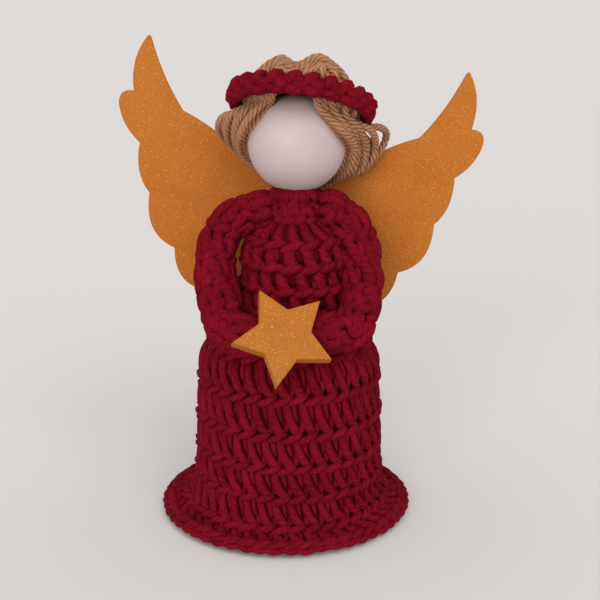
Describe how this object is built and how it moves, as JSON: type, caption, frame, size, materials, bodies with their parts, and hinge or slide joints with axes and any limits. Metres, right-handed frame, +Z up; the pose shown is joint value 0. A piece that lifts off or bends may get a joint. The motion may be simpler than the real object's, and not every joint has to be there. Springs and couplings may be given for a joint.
{
  "type": "angel ornament",
  "caption": "Standing crocheted angel with a stuffed ridged skirt, faceless wooden bead head, yarn hair, headband, foam wings and wired arms that hold a star.",
  "frame": {"origin": "middle of the base disc's underside, on the surface that the angel stands on", "axes": "+Z up through the skirt towards the head, -Y towards the star at the front, +X to the right seen from the front"},
  "size_m": [0.1173, 0.0884, 0.1506],
  "materials": {
    "red_yarn": "matte crocheted cotton yarn",
    "hair_yarn": "twisted caramel yarn",
    "glitter_foam": "gold glitter foam sheet",
    "glitter_star": "gold glitter craft star",
    "white_wood": "matte white painted turned wood",
    "plain_wood": "bare wooden peg",
    "wadding": "loose polyester wadding",
    "card": "plain grey-brown card",
    "wire": "bent craft wire",
    "glue": "hot-melt glue"
  },
  "bodies": {
    "torso": {"base_disc": "red_yarn", "base_card": "card", "brim": "red_yarn", "skirt": "red_yarn", "skirt_filling": "wadding", "bodice": "red_yarn", "bodice_filling": "wadding", "neck_stem": "plain_wood", "wings": "glitter_foam", "wing_glue": "glue"},
    "arms": {"left_arm": "red_yarn", "right_arm": "red_yarn", "left_arm_wire": "wire", "right_arm_wire": "wire", "star": "glitter_star", "left_star_glue": "glue", "right_star_glue": "glue"},
    "head": {"head_bead": "white_wood", "hair_lock_01": "hair_yarn", "hair_lock_02": "hair_yarn", "hair_lock_03": "hair_yarn", "hair_lock_04": "hair_yarn", "hair_lock_05": "hair_yarn", "hair_lock_06": "hair_yarn", "hair_lock_07": "hair_yarn", "hair_lock_08": "hair_yarn", "hair_core": "hair_yarn", "hair_tie": "hair_yarn", "headband": "red_yarn"}
  },
  "joints": [
    {"name": "head_turn", "type": "hinge", "parent": "torso", "child": "head", "pos_m": [0.001, 0, 0.1046], "axis": [0.1219, 0, 0.9925], "range_deg": [-20, 20]},
    {"name": "arms_lift", "type": "hinge", "parent": "torso", "child": "arms", "pos_m": [0, 0, 0.0981], "axis": [-1, 0, 0], "range_deg": [0, 50]}
  ]
}
